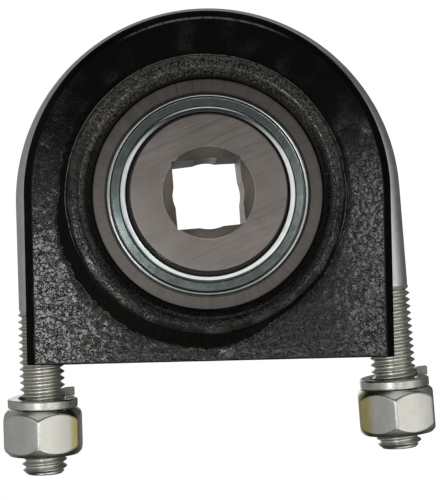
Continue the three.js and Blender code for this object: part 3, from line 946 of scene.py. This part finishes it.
def threaded_leg(leg, steps):
    """The leg's chamfered end and its thread, which runs out into the shank."""
    end = leg.height_of("u_bolt")[0]
    run_out = end + THREAD_LENGTH
    down = np.linspace(CREST_SHARE, ROOT_SHARE, 4)
    shares = np.concatenate([[-CREST_SHARE], down, 1 - down[:0:-1]])
    per_turn = len(shares)
    turns = int(THREAD_LENGTH / PITCH) + 4
    u = (np.arange(-1, turns)[:, None] + shares).ravel()
    phi = np.linspace(0, 2 * math.pi, steps, endpoint=False)
    height = end + (u[:, None] + phi / (2 * math.pi)) * PITCH
    radius = np.tile(thread_form(u)[:, None], (1, steps))
    fade = smoothstep(run_out - 1.6 * PITCH, run_out, height)
    radius = radius + (ROD_RADIUS - radius) * fade
    end_radius = THREAD_RADIUS - THREAD_CHAMFER
    radius = np.minimum(radius, np.maximum(end_radius + height - end, end_radius))
    height = np.clip(height, end, run_out)
    points = leg.around(radius, phi, height)
    rows = len(u)
    i, j = np.meshgrid(np.arange(rows - per_turn), np.arange(steps), indexing="ij")
    ahead = np.where(j == steps - 1, per_turn, 0)
    right = (j + 1) % steps
    here, there = i * steps + j, (i + ahead) * steps + right
    quads = np.stack([here, there, there + steps, here + steps], -1)
    return points.reshape(-1, 3), quads.reshape(-1, 4), end, run_out


def u_bolt():
    steps = 64
    phi = np.linspace(0, 2 * math.pi, steps, endpoint=False)
    centre, radius = bend()
    points, quads, kinds = [], [], []

    def add(new_points, new_quads, kind):
        first = sum(len(p) for p in points)
        points.append(new_points)
        quads.append(new_quads + first)
        kinds.append(np.full(len(new_quads), kind))

    shank, thread = 0, 1
    end_radius = THREAD_RADIUS - THREAD_CHAMFER
    stations = []
    for side, leg in LEGS.items():
        to_bend = (centre - leg.nut).dot(leg.up)
        new_points, new_quads, end, run_out = threaded_leg(leg, steps)
        add(new_points, new_quads, thread)
        # The flat end of the leg.
        disc = [leg.around(r, phi, end) for r in (end_radius, end_radius / 2, 0.0)]
        add(np.concatenate(disc), grid(3, steps, False, True), thread)
        straight = [leg.around(ROD_RADIUS, phi, h) for h in np.linspace(run_out, to_bend, 20)]
        stations.append(straight if side == "left" else straight[::-1])
    left, right = LEGS["left"], LEGS["right"]
    from_angle = math.atan2(-left.across.z, -left.across.x) % (2 * math.pi)
    to_angle = math.atan2(right.across.z, right.across.x)
    around = []
    for a in np.linspace(from_angle, to_angle, 110)[1:-1]:
        out = np.array([math.cos(a), 0, math.sin(a)])
        ring_centre = np.array(centre) + out * radius
        # Points run the same way round as on the left leg, where +X points in towards the centre.
        ring = ring_centre - np.outer(np.cos(phi), out * ROD_RADIUS)
        ring[:, 1] += ROD_RADIUS * np.sin(phi)
        around.append(ring)
    swept = stations[0] + around
    # The right leg's points run the other way round, so its angle is mirrored to meet the bend.
    mirror = (steps // 2 - np.arange(steps)) % steps
    swept += [ring[mirror] for ring in stations[1]]
    add(np.concatenate(swept), grid(len(swept), steps, False, True), shank)
    points, quads, kinds = (np.concatenate(parts) for parts in (points, quads, kinds))
    add_piece("u_bolt_rod", "u_bolt", points, quads, [ROD, THREAD], kinds, sharp=40)


def split_of(side, leg):
    """Angle, from +X towards +Y, of the raised end of a washer: where its CAD node is highest."""
    local = leg.local(f"lock_washer_{side}")
    top = local[local[:, 2] > local[:, 2].max() - 0.05].mean(0)
    return math.atan2(top[1], top[0])


def lock_washer(side, leg):
    """A split ring of rounded section, its end past the cut bent up."""
    under, top = leg.height_of(f"lock_washer_{side}")
    rise = 3.2
    thick = top - under - rise - 0.05
    split, gap = split_of(side, leg), math.radians(8)
    inner, outer = 8.2, 11.9
    corners = [
        (inner + 0.05, 0, 0.35),
        (outer, 0, 0.6),
        (outer + 0.05, thick, 0.7),
        (inner, thick, 0.35),
    ]
    section = filleted(corners, 18)
    angles = np.linspace(0, 2 * math.pi - gap, 160)
    share = 1 - angles / angles[-1]
    lift = rise * share**4
    spring = 1 + 0.03 * share**6
    r = section[:, 0][None] * spring[:, None]
    a = angles[:, None] + split
    up = under + section[:, 1][None] + lift[:, None]
    points = leg.around(r, a, up)
    # A flat face closes each end: a smaller outline, then a point.
    middle = points.mean(1, keepdims=True)
    smaller = middle + (points - middle) * 0.55
    centre = np.broadcast_to(middle, points.shape)
    rows = [centre[0], smaller[0], *points, smaller[-1], centre[-1]]
    # The cut end faces take the darker material, a painted shade.
    coil, sheared = 0, 1
    kinds = np.full(len(rows) - 1, coil)
    kinds[[0, 1, -2, -1]] = sheared
    kinds = np.repeat(kinds, len(section))
    points, quads = np.concatenate(rows), grid(len(rows), len(section), False, True)
    name = f"lock_washer_{side}"
    add_piece(f"{name}_coil", name, points, quads, [WASHER, SHEARED_AND_SHADED], kinds, sharp=45)


# The yellow painted reflection on each nut.
NUT_PAINTED_REFLECTIONS = {"left": (-37, 9), "right": (-152, 19)}  # degrees from +X towards +Y, half width


def nut_corner(side, leg):
    """Angle, from +X towards +Y, and radius of one corner of a nut, read from its CAD node."""
    local = leg.local(f"hex_nut_{side}")
    reach = np.hypot(local[:, 0], local[:, 1])
    corner = local[np.argmax(reach)]
    return math.atan2(corner[1], corner[0]), reach.max()


def hex_nut(side, leg):
    """A nut whose flats run into the chamfer cones at both ends, every edge a little round."""
    turn, corner = nut_corner(side, leg)
    flat = corner * math.cos(math.pi / 6)
    bottom, top = leg.height_of(f"hex_nut_{side}")
    half = (top - bottom) / 2
    per_flat, blunt, bulge = 36, 0.7, 0.34
    t = np.linspace(-1, 1, per_flat + 1)[:-1]
    from_middle = np.concatenate([math.radians(30) * np.sign(t) * np.abs(t) ** 0.7] * 6)
    angles = np.repeat(np.arange(6), per_flat) * math.pi / 3 + from_middle
    angles = angles + turn + math.pi / 6
    # Slightly bulged flats, and corners turned about centres set in from them.
    along = flat * np.tan(np.abs(from_middle))
    hexagon = (flat - bulge * (along / (corner / 2)) ** 2) / np.cos(from_middle)
    inset = (flat - bulge - blunt) / math.cos(math.pi / 6)
    to_corner = math.radians(30) - np.abs(from_middle)
    across = np.maximum(0, blunt**2 - (inset * np.sin(to_corner)) ** 2)
    rounded = inset * np.cos(to_corner) + np.sqrt(across)
    hexagon = np.where(along > (flat - blunt) * math.tan(math.pi / 6), rounded, hexagon)
    face_radius, chamfer = corner - 3.1, 4.8

    def soft_min(a, b, k=0.5):
        h = np.clip(0.5 + 0.5 * (b - a) / k, 0, 1)
        return b + (a - b) * h - k * h * (1 - h)

    bore = 8.0
    mouth = bore + 1.0
    face = [(mouth, half), ((mouth + face_radius) / 2, half)]
    depths = np.concatenate([np.linspace(0, 4.9, 32), [5.9]])
    sides = []
    for height in np.concatenate([half - depths, (depths - half)[::-1]]):
        left_over = 1 - min(1.0, (half - abs(height)) / chamfer)
        cone = face_radius + (corner + 0.1 - face_radius) * (1 - left_over**1.6)
        sides.append((soft_min(hexagon, cone), height))
    other_face = [(r, -h) for r, h in reversed(face)]
    rows = face + sides + other_face + [(bore, 1.0 - half), (bore, half - 1.0)]
    points = np.concatenate([leg.around(r, angles, h) for r, h in rows])
    quads = grid(len(rows), len(angles), True, True)
    name = f"hex_nut_{side}"
    piece, first = add_piece(f"{name}_body", name, points, quads, [NUT], sharp=33)
    # A yellow painted reflection lies beside one upright edge of each nut.
    middle, reach = NUT_PAINTED_REFLECTIONS[side]
    from_middle = (np.degrees(angles) - middle + 180) % 360 - 180
    painted_reflection = smoothstep(reach, reach * 0.2, np.abs(from_middle))
    set_attribute(piece.data, "painted_reflection", np.tile(painted_reflection, len(rows))[first])


# ---- Stage ----


WHITE = 1.05  # just past full white, so that the background stays even


def floor():
    """A plain white floor under the unit, which only the camera sees."""
    size, height = 6.0, AXIS.z * MM - 0.16  # metres
    mesh = bpy.data.meshes.new("floor")
    turns = ((-1, -1), (1, -1), (1, 1), (-1, 1))
    corners = [(x * size, y * size, height) for x, y in turns]
    mesh.from_pydata(corners, [], [(0, 1, 2, 3)])
    made = bpy.data.objects.new("floor", mesh)
    bpy.context.scene.collection.objects.link(made)
    material = bpy.data.materials.new("pale_floor")
    material.use_nodes = True
    nodes = Nodes(material.node_tree)
    nodes.tree.nodes.clear()
    glow = nodes.node("ShaderNodeEmission", {0: (1, 1, 1), 1: WHITE})
    nodes.node("ShaderNodeOutputMaterial", {0: glow.outputs[0]})
    mesh.materials.append(material)
    made.visible_diffuse = False
    made.visible_glossy = False
    made.visible_shadow = False


NEUTRAL = (1.0, 0.99, 0.97)
CREAM = (1.0, 0.98, 0.91)

# Left and right azimuth (0 in front, 90 at the right), low and high elevation, radiance, and the
# colour where it isn't neutral.
PANELS = [
    (-200, 200, -95, 95, 0.03),
    (-14, 14, -12, 16, 0.16),
    (-42, 42, -40, -15, 1.0, (1.0, 1.0, 0.9)),
    (16, 34, -14, 26, 0.7),
    (34, 60, -34, 26, 1.15, CREAM),
    (-58, -16, -14, 26, 0.75),
    (-78, -58, -34, 26, 0.38),
    (61, 88, -40, 40, 0.35),
    (-95, -78, -40, 40, 0.35),
    (-70, 70, 52, 95, 0.7),
    (-70, 70, -90, -58, 0.3),
    (96, 150, -40, 40, 0.1),
    (-150, -95, -40, 40, 0.3),
    (-190, -158, -25, 30, 1.2),
    (162, 190, -25, 30, 0.2),
    (-250, -110, 40, 80, 0.3),
    (110, 250, 40, 80, 0.3),
]


def world():
    """White behind the unit. What lights it is a dark room with soft panels all round."""
    made = bpy.data.worlds.new("studio")
    bpy.context.scene.world = made
    made.use_nodes = True
    nodes = Nodes(made.node_tree)
    nodes.tree.nodes.clear()
    direction = nodes.node("ShaderNodeTexCoord").outputs["Generated"]
    x, y, z = nodes.node("ShaderNodeSeparateXYZ", {0: direction}).outputs
    azimuth = nodes.times(nodes.math("ARCTAN2", x, nodes.times(y, -1.0)), math.degrees(1))
    elevation = nodes.times(nodes.math("ARCSINE", z), math.degrees(1))

    def panel(left, right, low, high, radiance, color=NEUTRAL):
        soft = 7  # degrees to either side of an edge
        share = radiance
        for angle, start, end in ((azimuth, left, right), (elevation, low, high)):
            share = nodes.times(share, nodes.ramp(angle, start - soft, start + soft))
            share = nodes.times(share, nodes.ramp(angle, end - soft, end + soft, 1.0, 0.0))
        return nodes.scaled(color, share)

    light = panel(*PANELS[0])
    for settings in PANELS[1:]:
        light = nodes.vector("ADD", light, panel(*settings))
    seen = nodes.node("ShaderNodeLightPath").outputs["Is Camera Ray"]
    lit = nodes.node("ShaderNodeBackground", {"Color": light, "Strength": 1.0}).outputs[0]
    white = nodes.node("ShaderNodeBackground", {"Color": (1, 1, 1), "Strength": WHITE}).outputs[0]
    mixed = nodes.node("ShaderNodeMixShader", {0: seen, 1: lit, 2: white}).outputs[0]
    nodes.node("ShaderNodeOutputWorld", {0: mixed})


def softbox(name, centre, width, height, radiance):
    """A soft panel beside the camera, facing straight back. Millimetres from the bearing."""
    data = bpy.data.lights.new(name, "AREA")
    data.shape = "RECTANGLE"
    data.size, data.size_y = width * MM, height * MM
    data.energy = radiance * math.pi * data.size * data.size_y
    made = bpy.data.objects.new(name, data)
    made.location = (Vector(centre) + AXIS) * MM
    made.rotation_euler = (math.radians(90), 0, 0)
    made.visible_camera = False
    bpy.context.scene.collection.objects.link(made)


def camera():
    """Level with the lower half of the unit and a little to the left of it."""
    data = bpy.data.cameras.new("camera")
    data.lens = 93.83
    made = bpy.data.objects.new("camera", data)
    yaw, pitch, roll = (math.radians(v) for v in (2.24, 0.6, 1.25))
    turn = Matrix.Rotation(-yaw, 3, "Z")
    forward = turn @ Vector((0, math.cos(pitch), math.sin(pitch)))
    level_right = turn @ Vector((1, 0, 0))
    level_up = level_right.cross(forward)
    right = level_right * math.cos(roll) - level_up * math.sin(roll)
    up = level_right * math.sin(roll) + level_up * math.cos(roll)
    place = (Vector((-12.6, -450.2, -23.7)) + AXIS) * MM
    made.matrix_world = Matrix(
        [(right[i], up[i], -forward[i], place[i]) for i in range(3)] + [(0, 0, 0, 1)]
    )
    bpy.context.scene.collection.objects.link(made)
    bpy.context.scene.camera = made


# ---- Build ----

housing()
outer_race()
inner_race()
for side, sign in (("front", -1), ("back", 1)):
    shield(side, sign)
    seal(side, sign)
    cage_half(side, sign)
rolling_parts()
u_bolt()
for side, leg in LEGS.items():
    lock_washer(side, leg)
    hex_nut(side, leg)

floor()
world()
softbox("key_left", (-135, -450, -65), 130, 130, 5.4)
softbox("key_low", (10, -450, -100), 160, 30, 1.8)
softbox("key_right", (145, -450, -35), 70, 190, 2.9)
camera()
bpy.context.scene.view_settings.view_transform = "Standard"
